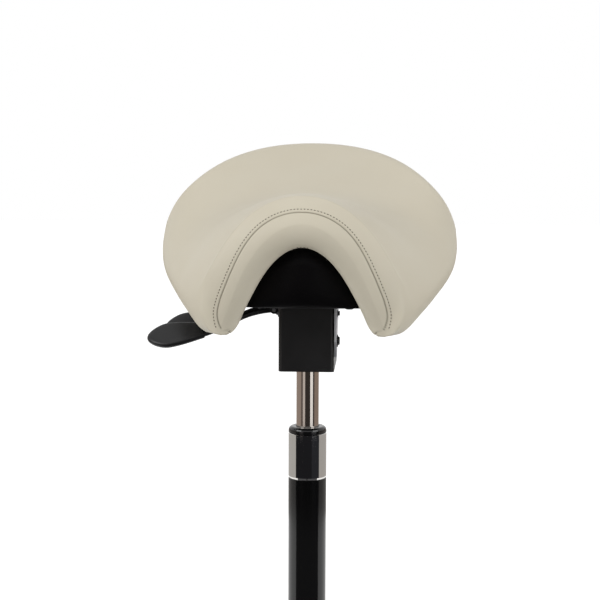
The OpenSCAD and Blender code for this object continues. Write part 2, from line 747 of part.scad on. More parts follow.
// Rings from the bottom face over the rounded edge to the crown
paddle_ring_shares = [0.90, 1, 0.97, 0.80, 0.45];
paddle_height_shares = [-0.5, -0.1, 0.22, 0.44, 0.5];
module paddle_blade() {
    n = leaf_n;
    rings = len(paddle_ring_shares);
    points = [for (r = [0:rings - 1], k = [0:n - 1])
              leaf_point(k, paddle_ring_shares[r], paddle_height_shares[r] * paddle_t)];
    sides = [for (r = [0:rings - 2], k = [0:n - 1])
             let (p = r * n + k, q = r * n + (k + 1) % n)
             each [[p, q, q + n], [p, q + n, p + n]]];
    polyhedron(points = points,
               faces = concat(sides, [[for (k = [0:n - 1]) k]], [[for (k = [n - 1:-1:0]) (rings - 1) * n + k]]),
               convexity = 4);
}
module paddle(reach, drop, y1) {
    translate([-reach, y1, pivot_z - drop - paddle_l * sin(paddle_slope) / 4])
        rotate([0, -paddle_slope, 0]) rotate([paddle_tilt, 0, 0]) paddle_blade();
}
module paddle_with_bore(reach, drop, y0, y1) {
    difference() {
        paddle(reach, drop, y1);
        bent_rod(reach, drop, y0, y1, rod_start);
    }
}
module tilt_paddle() {
    color(black) paddle_with_bore(tilt_reach, tilt_drop, tilt_lever_y, tilt_paddle_y);
}
module height_paddle() {
    color(black) paddle_with_bore(height_reach, height_drop, height_lever_y, height_paddle_y);
}

// Gas lift
valve_d = 5;
valve_gap = 0.5;
valve_len = 22;
// How far the cylinder stands out of its socket
socket_proud = 1.5;
lift_top = housing_z + socket_h + socket_proud;
lift_low = lift_top - lift_len;
valve_block = 30;
seal_block = 20;
bore_d = lift_d - 2 * lift_wall;
module gas_cylinder() {
    straight_h = housing_z - lift_low;
    taper_h = lift_top - housing_z;
    color([0.82, 0.82, 0.84])
    difference() {
        union() {
            translate([0, 0, lift_low]) cylinder(d = lift_d, h = straight_h);
            translate([0, 0, housing_z])
                cylinder(d1 = taper_d, d2 = taper_d - taper_fall * taper_h / socket_h, h = taper_h);
        }
        translate([0, 0, lift_low + seal_block]) cylinder(d = bore_d, h = lift_len - seal_block - valve_block);
        translate([0, 0, lift_low - over]) cylinder(d = rod_d + 2 * run_fit, h = seal_block + 2 * over);
        translate([0, 0, lift_top - valve_block - over])
            cylinder(d = valve_d + 2 * run_fit, h = valve_block + 2 * over);
    }
}
module valve_pin() {
    top = pivot_z - bar_h / 2 - valve_gap;
    color([0.7, 0.7, 0.72])
    translate([0, 0, top - valve_len]) cylinder(d = valve_d, h = valve_len);
}

// Column and thrust bearing
column_top = housing_z - show_len;
cap_h = 8;
collar_top = column_top - cap_h;
collar_z = collar_top - collar_h;
tube_low = 66;
floor_t = 4;
floor_hole_d = 12;
hub_low = 66;
tube_fall = 1.4;
bush_len = 84;
bush_id = lift_d + 2 * run_fit;
tube_id = tube_d - 2 * tube_wall;
race_d = 26;
race_t = 2.5;
ball_d = 4;
ball_n = 10;
ball_circle = 18;
pin_d = 8;
stop_d = 24;
stop_h = 16;
race_z = tube_low + floor_t;
upper_race_z = race_z + race_t + ball_d + gap;
shoulder_z = upper_race_z + race_t;
piston_h = 14;
piston_z = 338;
rod_top = piston_z + piston_h;
clip_h = 1.6;
// Width of the rod clip's ring outside its pin, and of the stop's taper
rod_clip_ring = 5;
stop_taper = 2;
// Height of the straight side of the column's cap ring
cap_side = 3;

module column_tube() {
    taper_h = hub_top - tube_low;
    color([0.2, 0.2, 0.21])
    difference() {
        union() {
            translate([0, 0, tube_low]) cylinder(d1 = tube_d - tube_fall, d2 = tube_d, h = taper_h);
            translate([0, 0, hub_top]) cylinder(d = tube_d, h = collar_top - hub_top);
        }
        translate([0, 0, tube_low + floor_t]) cylinder(d = tube_id, h = collar_top);
        translate([0, 0, tube_low - over]) cylinder(d = floor_hole_d, h = floor_t + 2 * over);
    }
}

// A sleeve of the column with a bevel on its upper edge and a slimmer lip on its lower one
module sleeve(z, h, bevel, lip_h, lip_t) {
    r = column_d / 2;
    ri = tube_d / 2;
    translate([0, 0, z]) rotate_extrude() polygon([
        [ri, 0], [r - lip_t, 0], [r, lip_h], [r, h - bevel], [r - bevel, h], [ri, h]]);
}
collar_bevel = 1.2;
collar_lip_h = 2.6;
collar_lip_t = 0.8;
module chrome_collar() {
    color([0.85, 0.85, 0.87]) sleeve(collar_z, collar_h, collar_bevel, collar_lip_h, collar_lip_t);
}
cover_bevel = 0.5;
module column_cover() {
    color(black) sleeve(hub_top, collar_z - hub_top, cover_bevel, cover_bevel, cover_bevel);
}

module guide_bush() {
    r = column_d / 2;
    dome = cap_h - cap_side;
    color(black)
    rotate_extrude() polygon(concat(
        [[bush_id / 2, collar_top - bush_len], [tube_id / 2, collar_top - bush_len],
         [tube_id / 2, collar_top], [r, collar_top]],
        [for (a = [0:15:90]) [r - dome + dome * cos(a), collar_top + cap_side + dome * sin(a)]],
        [[(bush_id + cap_side) / 2, column_top], [bush_id / 2, column_top - cap_side / 2]]));
}

module race(z, inner) {
    translate([0, 0, z]) difference() {
        cylinder(d = race_d, h = race_t);
        translate([0, 0, -over]) cylinder(d = inner, h = race_t + 2 * over);
    }
}
module lower_race() {
    color([0.65, 0.65, 0.67]) race(race_z, floor_hole_d);
}
module upper_race() {
    color([0.65, 0.65, 0.67]) race(upper_race_z, pin_d);
}
module bearing_balls() {
    color([0.75, 0.75, 0.77])
    for (k = [0:ball_n - 1]) rotate(360 * k / ball_n)
        translate([ball_circle / 2, 0, race_z + race_t + ball_d / 2]) sphere(d = ball_d, $fn = 24);
}

module piston_rod() {
    low = tube_low - gap - 2 * clip_h - over;
    color([0.8, 0.8, 0.82])
    difference() {
        union() {
            translate([0, 0, low]) cylinder(d = pin_d, h = shoulder_z - low);
            translate([0, 0, shoulder_z]) cylinder(d = rod_d, h = rod_top - shoulder_z);
        }
        translate([0, 0, tube_low - gap - clip_h]) difference() {
            cylinder(d = pin_d + over, h = clip_h);
            translate([0, 0, -over]) cylinder(d = pin_d - 2 * groove, h = clip_h + 2 * over);
        }
    }
}
module rod_clip() {
    color([0.5, 0.5, 0.5])
    translate([0, 0, tube_low - gap - clip_h]) difference() {
        cylinder(d = pin_d + 2 * rod_clip_ring, h = clip_h);
        translate([0, 0, -over]) cylinder(d = pin_d - 2 * groove, h = clip_h + 2 * over);
    }
}
module piston() {
    color([0.4, 0.4, 0.42])
    translate([0, 0, piston_z]) difference() {
        cylinder(d = bore_d - 2 * run_fit, h = piston_h);
        translate([0, 0, -over]) cylinder(d = rod_d, h = piston_h + 2 * over);
    }
}
module bump_stop() {
    color([0.1, 0.1, 0.1])
    translate([0, 0, shoulder_z]) difference() {
        cylinder(d1 = stop_d, d2 = stop_d - 2 * stop_taper, h = stop_h);
        translate([0, 0, -over]) cylinder(d = rod_d, h = stop_h + 2 * over);
    }
}

// Star base: five hollow ribbed legs round a hub
leg_n = 5;
leg_low = 62;
leg_top_tip = 84;
leg_root = 20;
rib_t = 3;
cross_ribs = 4;
socket_boss_d = 22;
hub_bevel = 3;
// Depth of a leg's root below the hub's top
root_drop = 6;
// Radius that the bevels of a leg's upper edges touch, and their lean
leg_round = 14;
leg_lean = 45;
top_shares = [0, 0.2, 0.4, 0.6, 0.8, 1];
top_fall_shares = [0, 0.1, 0.27, 0.5, 0.76, 1];
leg_end = base_r + tip_d / 2;

// Side view of a leg, in the plane of its reach and Z
leg_top_n = len(top_shares) - 1;
function leg_x(k) = leg_root + (leg_end - leg_root) * top_shares[k];
function leg_top(k) = hub_top - root_drop - (hub_top - root_drop - leg_top_tip) * top_fall_shares[k];
function leg_half(k) = (leg_w + (tip_d - leg_w) * min(leg_x(k) / base_r, 1)) / 2;
module leg_side(t) {
    low = leg_low - (t > 0 ? over : 0);
    polygon(concat([for (k = [0:leg_top_n]) [leg_x(k), leg_top(k) - t]], [[leg_end, low], [leg_root, low]]));
}
// Everything under a plane that leans a degrees to one side and touches the rounded upper edge
module leg_shoulder(t, a) {
    s = abs(sin(a));
    rotate([-a, 0, 0]) translate([0, hub_top, 0]) rotate([90, 0, 0]) linear_extrude(2 * hub_top) polygon(concat(
        [for (k = [0:leg_top_n])
            [leg_x(k), (leg_half(k) - leg_round) * s + (leg_top(k) - leg_round) * cos(a) + leg_round - t]],
        [[leg_end, -leg_w], [leg_root, -leg_w]]));
}
module leg_plan(t) {
    polygon([[0, -leg_w / 2 + t], [base_r, -tip_d / 2 + t], [base_r, tip_d / 2 - t], [0, leg_w / 2 - t]]);
    translate([base_r, 0]) circle(d = tip_d - 2 * t);
}
module leg_form(t) {
    intersection() {
        translate([0, leg_w, 0]) rotate([90, 0, 0]) linear_extrude(2 * leg_w) leg_side(t);
        linear_extrude(hub_top) leg_plan(t);
        leg_shoulder(t, -leg_lean);
        leg_shoulder(t, leg_lean);
    }
}
module leg() {
    span = (base_r - socket_boss_d / 2 - hub_d / 2) / (cross_ribs + 1);
    difference() {
        leg_form(0);
        difference() {
            leg_form(base_wall);
            translate([hub_d / 2, -rib_t / 2, 0]) cube([base_r - hub_d / 2, rib_t, hub_top]);
            for (k = [1:cross_ribs])
                translate([hub_d / 2 + span * k, -leg_w / 2, 0]) cube([rib_t, leg_w, hub_top]);
            translate([base_r, 0, 0]) cylinder(d = socket_boss_d, h = hub_top);
        }
        translate([base_r, 0, leg_low - over]) cylinder(d = stem_d, h = stem_top - leg_low + over);
    }
}
collar_t = 2;
// Thickness of the leg's top over the stem
tip_roof = 4;
stem_top = leg_top_tip - tip_roof;
module star_base() {
    color([0.1, 0.1, 0.11])
    difference() {
        union() {
            for (k = [0:leg_n - 1]) rotate(-90 + 360 * k / leg_n) leg();
            translate([0, 0, hub_low]) cylinder(d = hub_d, h = hub_top - hub_low - hub_bevel);
            translate([0, 0, hub_top - hub_bevel]) cylinder(d1 = hub_d, d2 = hub_d - 2 * hub_bevel, h = hub_bevel);
        }
        translate([0, 0, hub_low - over])
            cylinder(d1 = tube_d - tube_fall - tube_fall * over / (hub_top - hub_low),
                     d2 = tube_d + tube_fall * over / (hub_top - hub_low), h = hub_top - hub_low + 2 * over);
    }
}

// Castors. Local frame: +X trails outwards, and the wheels' axle runs along Y.
axle_h = wheel_d / 2;
hood_gap = 1.6;
hood_t = 2.6;
hood_r = wheel_d / 2 + hood_gap + hood_t;
web_w = 12;
wheel_gap = gap;
// How far the hood reaches past a wheel's outer face
hood_past = 1;
hood_w = web_w + 2 * (wheel_gap + wheel_w + hood_past);
lower_stem_d = 8;
lower_stem_z = 36;
// Web's floor under the stem's bore, its foot below the axle, and the boss's start above that bore
web_floor = 3;
web_foot = 10;
boss_rise = 8;
stem_collar_d = 16;
house_boss_d = 18;
house_top = leg_low - collar_t - gap;
module at_castor(n) {
    rotate(-90 + 360 * (n - 1) / leg_n) translate([base_r, 0, 0]) children();
}
module along_axle(y, h, d) {
    translate([trail, y, axle_h]) rotate([-90, 0, 0]) cylinder(d = d, h = h);
}
module castor_housing(n) {
    color([0.1, 0.1, 0.11])
    at_castor(n)
    difference() {
        union() {
            // Web between the wheels
            intersection() {
                union() {
                    along_axle(-web_w / 2, web_w, 2 * hood_r - hood_t);
                    translate([-house_boss_d / 2, -web_w / 2, lower_stem_z - web_floor])
                        cube([trail, web_w, house_top - lower_stem_z - web_floor]);
                }
                translate([-house_boss_d / 2, -web_w / 2, axle_h - web_foot])
                    cube([trail + wheel_d, web_w, wheel_d]);
            }
            // Hood over the wheels
            difference() {
                along_axle(-hood_w / 2, hood_w, 2 * hood_r);
                along_axle(-hood_w / 2 - over, hood_w + 2 * over, 2 * (hood_r - hood_t));
                translate([trail - 2 * hood_r, -hood_w, axle_h - 2 * hood_r])
                    cube([4 * hood_r, 2 * hood_w, 2 * hood_r]);
            }
            // Boss round the stem
            translate([0, 0, lower_stem_z + boss_rise])
                cylinder(d = house_boss_d, h = house_top - lower_stem_z - boss_rise);
        }
        translate([0, 0, lower_stem_z]) cylinder(d = lower_stem_d + 2 * run_fit, h = wheel_d);
        along_axle(-web_w / 2 - over, web_w + 2 * over, wheel_axle_d);
    }
}
module castor_axle(n) {
    l = web_w + 2 * (wheel_gap + wheel_w - wheel_cap - run_fit - gap);
    color([0.7, 0.7, 0.7]) at_castor(n) along_axle(-l / 2, l, wheel_axle_d);
}
// Rounding of the tread, width of its flat side, dish of the disc and size of its middle cap
rim_r = 4;
tread_w = 7;
hub_sink = 3;
cap_r = 6;
wheel_cap = 3;
module castor_wheel(n, side) {
    r = wheel_d / 2;
    w = wheel_w;
    color([0.08, 0.08, 0.09])
    at_castor(n) translate([trail, side * (web_w / 2 + wheel_gap), axle_h]) rotate([-90 * side, 0, 0])
    difference() {
        rotate_extrude() polygon(concat(
            [[0, 0], [r - rim_r / 2, 0]],
            [for (a = [0:22.5:90]) [r - rim_r + rim_r * cos(a), w - rim_r + rim_r * sin(a)]],
            [[r - tread_w, w], [r - tread_w - hub_sink, w - hub_sink], [cap_r + hub_sink / 2, w - hub_sink],
             [cap_r, w - hub_sink / 3], [0, w - hub_sink / 3]]));
        translate([0, 0, -over]) cylinder(d = wheel_axle_d + 2 * run_fit, h = w - wheel_cap + over);
    }
}
module castor_stems() {
    color([0.7, 0.7, 0.71])
    for (n = [1:leg_n]) at_castor(n) {
        difference() {
            union() {
                translate([0, 0, lower_stem_z + gap])
                    cylinder(d = lower_stem_d, h = leg_low - collar_t - lower_stem_z - gap);
                translate([0, 0, leg_low - collar_t]) cylinder(d = stem_collar_d, h = collar_t);
                translate([0, 0, leg_low]) cylinder(d = stem_d, h = stem_top - leg_low);
            }
            ring_at(stem_d + over, stem_d - 2 * ring_groove);
        }
    }
}
ring_groove = 1;
ring_h = 1.5;
ring_z = 72;
module ring_at(outer, inner) {
    translate([0, 0, ring_z]) difference() {
        cylinder(d = outer, h = ring_h);
        translate([0, 0, -over]) cylinder(d = inner, h = ring_h + 2 * over);
    }
}
module stem_rings() {
    color([0.5, 0.5, 0.5]) for (n = [1:leg_n]) at_castor(n) ring_at(stem_d, stem_d - 2 * ring_groove);
}

seat_cover();
seat_foam();
seat_shell();
under_pan();
pan_inserts();
seat_plate();
seat_bolts();
tilt_sector();
sector_screws();
mechanism_housing();
taper_socket();
tilt_axle();
axle_clips();
clamp_bolt();
clamp_arm();
lever_pins();
height_lever_rod();
height_paddle();
tilt_lever_rod();
tilt_paddle();
valve_pin();
gas_cylinder();
piston_rod();
piston();
upper_race();
bump_stop();
rod_clip();
column_tube();
guide_bush();
chrome_collar();
column_cover();
lower_race();
bearing_balls();
star_base();
castor_stems();
stem_rings();
for (n = [1:leg_n]) {
    castor_housing(n);
    castor_axle(n);
    castor_wheel(n, 1);
    castor_wheel(n, -1);
}
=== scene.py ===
"""Dresses the saddle stool's frame: upholstery, underpan, levers, finishes, studio and camera."""

import math

import bmesh
import bpy
from bpy.props import FloatProperty, FloatVectorProperty, PointerProperty, StringProperty
from mathutils import Matrix, Quaternion, Vector, kdtree


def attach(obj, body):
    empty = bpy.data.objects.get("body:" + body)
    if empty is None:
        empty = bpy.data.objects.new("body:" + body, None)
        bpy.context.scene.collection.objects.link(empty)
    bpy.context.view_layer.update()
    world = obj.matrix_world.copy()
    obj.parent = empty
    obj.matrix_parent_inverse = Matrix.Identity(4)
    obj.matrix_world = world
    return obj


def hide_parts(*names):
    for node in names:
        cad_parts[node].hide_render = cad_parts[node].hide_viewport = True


bl_info = {
    "name": "Saddle Stool",
    "version": (1, 0, 0),
    "blender": (4, 5, 0),
    "location": "View3D > Sidebar > Stool",
    "description": "Dresses the frame of a saddle stool",
    "category": "Object",
}

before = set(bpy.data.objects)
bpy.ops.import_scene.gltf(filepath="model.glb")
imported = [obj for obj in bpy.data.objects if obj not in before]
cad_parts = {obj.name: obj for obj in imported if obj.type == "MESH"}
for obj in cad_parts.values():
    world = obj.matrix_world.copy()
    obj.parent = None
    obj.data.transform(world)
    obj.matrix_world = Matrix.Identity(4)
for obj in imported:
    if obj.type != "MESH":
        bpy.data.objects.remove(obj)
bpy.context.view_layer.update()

# Shares of the seat's sizes, from the nose to the back, as in the frame's own surface
MID_Y_SHARES = (0, 0.18, 0.39, 0.60, 0.82, 1)
RIM_Y_SHARES = (0.07, 0.19, 0.32, 0.45, 0.58, 0.71)
HALF_W_SHARES = (0.53, 0.64, 0.755, 0.845, 0.895, 0.91)
MID_Z_SHARES = (-0.19, -0.18, -0.24, -0.23, -0.05, 0.16)
RIM_Z_SHARES = (-1.15, -0.99, -0.87, -0.76, -0.66, -0.565)
THICK_SHARES = (1.05, 1, 0.93, 0.87, 0.84, 0.81)
# The nose seam's distance from the front rim, from the crest to a flap's tip, where it turns under
SEAM_SHARES = (0.95, 1, 1.06, 1.1, 1.05, 0.95, 0.85, 0.8, 0.75, 0.5, -0.3)

# Paddle outline at even steps of the square root of the way from the tip to the rod, where it ends square
LEAF_SHARES = (0, 0.19, 0.38, 0.58, 0.76, 0.92, 1, 0.97, 0.88, 0.74, 0.56)
# Paddle's rings from its lower face to its crown: share of the outline and share of the thickness
LEAF_SECTIONS = ((0.55, -0.5), (0.86, -0.5), (0.955, -0.42), (0.995, -0.2), (1.0, 0.0), (0.985, 0.2),
                 (0.94, 0.36), (0.86, 0.43), (0.7, 0.45), (0.4, 0.5))
# Name, body and tip of each lever: how far it reaches to -X, and its y and z
LEVERS = (("height", "height_lever", 0.208, -0.028, 0.519), ("tilt", "tilt_lever", 0.190, 0.026, 0.525))

# Distances from a rim in metres, with the cover's grid step up to each
SIDE_GRID = ((0.004, 0.0008), (0.036, 0.002))
NOSE_GRID = ((0.018, 0.0006), (0.036, 0.0015))
TUCK_STEP = 0.0026
MIDDLE_STEP = 0.0036


def length(name, text, default):
    """A size property in metres."""
    return FloatProperty(name=name, description=text, default=default, min=0.0, subtype="DISTANCE",
                         unit="LENGTH", precision=4)


class StoolSeatSettings(bpy.types.PropertyGroup):
    """Sizes of the seat"""

    crest: length("Crest height", "Height of the nose's crest above the floor", 0.715)
    reach: length("Nose reach", "How far the nose lies in front of the column", 0.176)
    span: length("Length", "Length of the middle line, nose to back", 0.362)
    width: length("Width", "Width over the widest lobes", 0.386)
    drop: length("Flap drop", "Drop from the crest to the flap tips", 0.172)
    padding: length("Padding", "Thickness of the padding in the middle", 0.062)
    cover: length("Cover", "Thickness of the upholstery", 0.0016)
    seam: length("Seam place", "Usual distance of the nose seam from the front rim", 0.010)
    seam_depth: length("Seam depth", "Depth of the seam's groove", 0.0011)
    seam_wide: length("Seam width", "Half width of the seam's groove", 0.0007)
    stitch_row: length("Stitch row", "Distance of the stitch row from the seam", 0.0033)
    arch_row: length("Arch row", "Distance of the short row under the arch from the front rim", 0.016)
    stitch_pitch: length("Stitch pitch", "Distance between stitches", 0.0042)
    # Stitches are drawn about twice as wide as real thread, so that they show
    stitch_long: length("Stitch length", "Length of a stitch", 0.0028)
    thread: length("Thread", "Half the width of a stitch", 0.0007)
    stitch_lift: length("Stitch lift", "How far a stitch's middle stands off the cover", 0.0001)
    tuck: length("Tuck", "How far the cover reaches under the seat", 0.062)


class StoolPanSettings(bpy.types.PropertyGroup):
    """Sizes of the underpan"""

    depth: length("Depth", "Depth of the floor below the crest", 0.145)
    half_width: length("Half width", "Half width of the floor", 0.092)
    front: length("Front", "Front edge of the floor", 0.112)
    back: length("Back", "Back edge of the floor", 0.104)
    wall: length("Wall", "Wall of the tray", 0.004)
    side_rim: length("Side rim", "Distance of the tray's edge from the seat's side rims", 0.040)
    end_rim: length("End rim", "Distance of the tray's edge from the seat's front and back rims", 0.046)
    overlap: length("Overlap", "How far the tray's edge stands off the cover", 0.0012)


class StoolLeverSettings(bpy.types.PropertyGroup):
    """Sizes of the levers"""

    paddle_long: length("Paddle length", "Length of a paddle", 0.076)
    paddle_wide: length("Paddle width", "Width of a paddle", 0.04)
    paddle_thick: length("Paddle thickness", "Thickness of a paddle", 0.009)
    lean: FloatProperty(name="Lean", description="How far the paddles' faces lean to the front",
                        default=math.radians(38), subtype="ANGLE", unit="ROTATION")
    slope: FloatProperty(name="Slope", description="How far the paddles fall towards their tips",
                         default=math.radians(9), subtype="ANGLE", unit="ROTATION")


class StoolFinishSettings(bpy.types.PropertyGroup):
    """Colours of the finishes, as sRGB hex values"""

    cover: StringProperty(name="Cover", description="Colour of the upholstery", default="#cdc6b4")
    # The thread is real, and its colour is darkened as painted shade for the stitch holes
    thread: StringProperty(name="Thread", description="Colour of the seam's thread", default="#6f6858")
    pan: StringProperty(name="Pan", description="Colour of the underpan", default="#050405")
    steel_paint: StringProperty(name="Powder coat", description="Colour of the coated steel",
                                default="#141314")
    paddle: StringProperty(name="Paddles", description="Colour of the paddles", default="#161617")
    base: StringProperty(name="Base", description="Colour of the star base", default="#161617")


class StoolStageSettings(bpy.types.PropertyGroup):
    """Camera, lamps and backdrop"""

    distance: length("Camera distance", "Distance from the camera to its target", 3.2)
    azimuth: FloatProperty(name="Azimuth", description="Turn of the camera towards +X from the front",
                           default=math.radians(3.0), subtype="ANGLE", unit="ROTATION")
    elevation: FloatProperty(name="Elevation", description="Rise of the camera", default=math.radians(8.1),
                             subtype="ANGLE", unit="ROTATION")
    roll: FloatProperty(name="Roll", description="Roll of the camera", default=math.radians(0.2),
                        subtype="ANGLE", unit="ROTATION")
    lens: FloatProperty(name="Lens", description="Focal length in millimetres", default=147.0)
    sensor: FloatProperty(name="Sensor", description="Width of the sensor in millimetres", default=36.0)
    target: FloatVectorProperty(name="Target", description="Point that the camera looks at",
                                default=(-0.0105, 0.0, 0.5645), subtype="XYZ", unit="LENGTH")
    key: FloatProperty(name="Left lamp", description="Power of the left lamp in watts", default=23.0,
                       min=0.0)
    fill: FloatProperty(name="Right lamp", description="Power of the right lamp in watts", default=18.0,
                        min=0.0)
    top: FloatProperty(name="Top lamp", description="Power of the top lamp in watts", default=7.5, min=0.0)
    ambient: FloatProperty(name="Ambient", description="Strength of the even studio light", default=0.41,
                           min=0.0)
    floor_glow: FloatProperty(name="Floor glow", description="Own light of the floor, as far as it is seen",
                              default=0.84, min=0.0)


# Finishes

def linear(text):
    """An sRGB hex colour as linear RGBA."""
    parts = [int(text[i:i + 2], 16) / 255 for i in (1, 3, 5)]
    return tuple(c / 12.92 if c <= 0.04045 else ((c + 0.055) / 1.055) ** 2.4 for c in parts) + (1.0,)


def add(tree, kind, inputs=None, **settings):
    """Add a node with its settings. An input takes a value or another node's output."""
    new = tree.nodes.new(kind)
    for name, value in settings.items():
        setattr(new, name, value)
    for name, value in (inputs or {}).items():
        if isinstance(value, bpy.types.NodeSocket):
            tree.links.new(value, new.inputs[name])
        else:
            new.inputs[name].default_value = value
    return new


def surface(name, colour, other=None, patch=0.03, rough=0.5, rough_swing=0.0, metal=0.0, grain=None,
            depth=0.0, kind="noise", seam_shade=None, **extra):
    """A finish that drifts over patches, with a fine grain in metres as its bump and painted shade in a
    seam's groove.
    """
    mat = bpy.data.materials.new(name)
    mat.use_nodes = True
    tree = mat.node_tree
    tree.nodes.clear()
    out = add(tree, "ShaderNodeOutputMaterial")
    shader = add(tree, "ShaderNodeBsdfPrincipled", {"Metallic": metal, "Roughness": rough, **extra})
    tree.links.new(shader.outputs[0], out.inputs["Surface"])
    place = add(tree, "ShaderNodeTexCoord")
    drift = add(tree, "ShaderNodeTexNoise", {"Vector": place.outputs["Object"], "Scale": 1 / patch,
                                             "Detail": 3.0, "Roughness": 0.55})
    # A colour mix has its share in input 0, its colours in 6 and 7 and its result in output 2
    colours = {6: linear(colour), 7: linear(other or colour)}
    shade = add(tree, "ShaderNodeMix", {0: drift.outputs["Fac"], **colours}, data_type="RGBA")
    # Painted shade in a seam's groove: each vertex's stored share mixes in this darker colour
    if seam_shade:
        share = add(tree, "ShaderNodeAttribute", attribute_name="seam_shade")
        colours = {6: shade.outputs[2], 7: linear(seam_shade)}
        shade = add(tree, "ShaderNodeMix", {0: share.outputs["Fac"], **colours}, data_type="RGBA")
    tree.links.new(shade.outputs[2], shader.inputs["Base Color"])
    if rough_swing:
        swing = add(tree, "ShaderNodeMapRange", {
            "Value": drift.outputs["Fac"], "From Min": 0.3, "From Max": 0.7,
            "To Min": rough - rough_swing, "To Max": rough + rough_swing})
        tree.links.new(swing.outputs[0], shader.inputs["Roughness"])
    if grain:
        if kind == "cell":
            fine = add(tree, "ShaderNodeTexVoronoi", {"Vector": place.outputs["Object"], "Scale": 1 / grain},
                       feature="SMOOTH_F1")
            height = fine.outputs["Distance"]
        else:
            fine = add(tree, "ShaderNodeTexNoise", {"Vector": place.outputs["Object"], "Scale": 1 / grain,
                                                    "Detail": 2.0})
            height = fine.outputs["Fac"]
        bump = add(tree, "ShaderNodeBump", {"Height": height, "Strength": 1.0, "Distance": depth})
        tree.links.new(bump.outputs[0], shader.inputs["Normal"])
    return mat


FINISHES = {}


def finish(name):
    """The finish of that name, made once."""
    if name not in FINISHES:
        colours = bpy.context.scene.stool_finish
        FINISHES[name] = {
            # Soft polyurethane-coated cloth: a low even sheen, a grain of about 1.3 mm, and painted shade
            # darkening the seam's groove
            "coated_cloth": lambda: surface(
                "coated_upholstery_cloth", colours.cover, "#cbc3b0", 0.06, 0.5, 0.04,
                grain=0.0013, depth=0.00005, kind="cell", seam_shade="#7a7463",
                **{"Sheen Weight": 0.08, "Sheen Roughness": 0.4, "Specular IOR Level": 0.35}),
            # Bonded polyester thread, painted some shades darker than the cloth as shade for the stitch holes
            "thread": lambda: surface("polyester_thread_and_hole_shade", colours.thread, "#645e50", 0.004, 0.7),
            # Moulded flexible polyurethane foam, with open cells about 1.5 mm across
            "foam": lambda: surface("moulded_foam", "#d9cda4", "#cfc193", 0.05, 0.9,
                                    grain=0.0015, depth=0.0004, kind="cell"),
            # Glass-filled polypropylene from a sparked mould: dark, dry, with a 1 mm grain
            "pan": lambda: surface("moulded_polypropylene", colours.pan, "#060506", 0.05, 0.5, 0.05,
                                   grain=0.001, depth=0.00006, **{"Specular IOR Level": 0.07}),
            # Powder coat on folded steel: satin, with an orange peel of about 2 mm
            "powder_coat": lambda: surface("black_powder_coat", colours.steel_paint, "#171617", 0.04, 0.42,
                                           0.05, grain=0.002, depth=0.00004, **{"Specular IOR Level": 0.35}),
            # Moulded ABS with a satin face, a little smoother in some patches
            "paddle": lambda: surface("satin_abs", colours.paddle, "#1a1a1b", 0.02, 0.36, 0.07,
                                      grain=0.0012, depth=0.00003, **{"Specular IOR Level": 0.3}),
            # Zinc plating on rolled sheet: pale, cool and half dull, with faint cloudy spangle
            "zinc": lambda: surface("zinc_plating", "#dcdddf", "#c9ccd0", 0.008, 0.55, 0.06, 1.0),
            # Turned mild steel, with a tone that drifts over small patches
            "steel": lambda: surface("turned_steel", "#8f8f92", "#7c7c80", 0.01, 0.35, 0.06, 1.0),
            # Black oxide on screws and bolts: dark and oily
            "oxide": lambda: surface("black_oxide", "#1c1c1f", "#26262a", 0.006, 0.38, 0.06, 0.6),
            # Hard chrome on the cylinder: a warm mirror with a faint haze
            "hard_chrome": lambda: surface("hard_chrome", "#c3bdb7", "#b9b2ab", 0.05, 0.06, 0.01, 1.0),
            # Bright chrome on the collar: a cool mirror
            "bright_chrome": lambda: surface("bright_chrome", "#cfcdca", "#c9c7c4", 0.05, 0.04, 0.01, 1.0),
            # Brass of the threaded inserts
            "brass": lambda: surface("turned_brass", "#b59757", "#a98a4b", 0.01, 0.35, 0.05, 1.0),
            # Nitrile rubber of the bump stop
            "rubber": lambda: surface("nitrile_rubber", "#141414", "#191919", 0.01, 0.8),
            # Acetal cap and bush: smooth black with a soft gloss
            "acetal": lambda: surface(
                "black_acetal", "#0c0c0d", "#0f0f10", 0.02, 0.1, 0.02,
                **{"Specular IOR Level": 0.4, "Coat Weight": 0.15, "Coat Roughness": 0.05}),
            # Glossy painted sleeve of the lower column
            "gloss_sleeve": lambda: surface("gloss_black_sleeve", "#060606", "#080808", 0.06, 0.12, 0.02,
                                            **{"Specular IOR Level": 0.45}),
            # Glass-filled nylon of the star base: a dry grain of about 1.5 mm from the mould
            "nylon": lambda: surface("glass_filled_nylon", colours.base, "#1a1a1b", 0.05, 0.55, 0.05,
                                     grain=0.0015, depth=0.00008),
            # Moulded nylon of the castor hoods
            "castor": lambda: surface("castor_nylon", "#151516", "#1a1a1c", 0.02, 0.45, 0.05,
                                      grain=0.001, depth=0.00004),
            # Polyurethane castor wheel: dull, with scuffed patches a little lighter
            "wheel": lambda: surface("polyurethane_wheel", "#232325", "#2b2b2d", 0.006, 0.58, 0.08),
        }[name]()
    return FINISHES[name]


CAD_FINISHES = {
    "seat_cover": "coated_cloth", "seat_foam": "foam", "seat_shell": "pan", "under_pan": "pan",
    "pan_inserts": "brass", "seat_plate": "powder_coat", "seat_bolts": "oxide", "tilt_sector": "zinc",
    "sector_screws": "zinc", "mechanism_housing": "powder_coat", "taper_socket": "steel",
    "tilt_axle": "oxide", "axle_clips": "steel", "clamp_bolt": "oxide", "clamp_arm": "steel",
    "lever_pins": "steel",
    "height_lever_rod": "powder_coat", "height_paddle": "paddle", "tilt_lever_rod": "powder_coat",
    "tilt_paddle": "paddle", "valve_pin": "steel", "gas_cylinder": "hard_chrome", "piston_rod": "steel",
    "piston": "steel", "upper_race": "steel", "bump_stop": "rubber", "rod_clip": "steel",
    "column_tube": "powder_coat", "guide_bush": "acetal", "chrome_collar": "bright_chrome",
    "column_cover": "gloss_sleeve", "lower_race": "steel", "bearing_balls": "bright_chrome",
    "star_base": "nylon", "castor_stems": "zinc", "stem_rings": "steel",
}


# Shapes

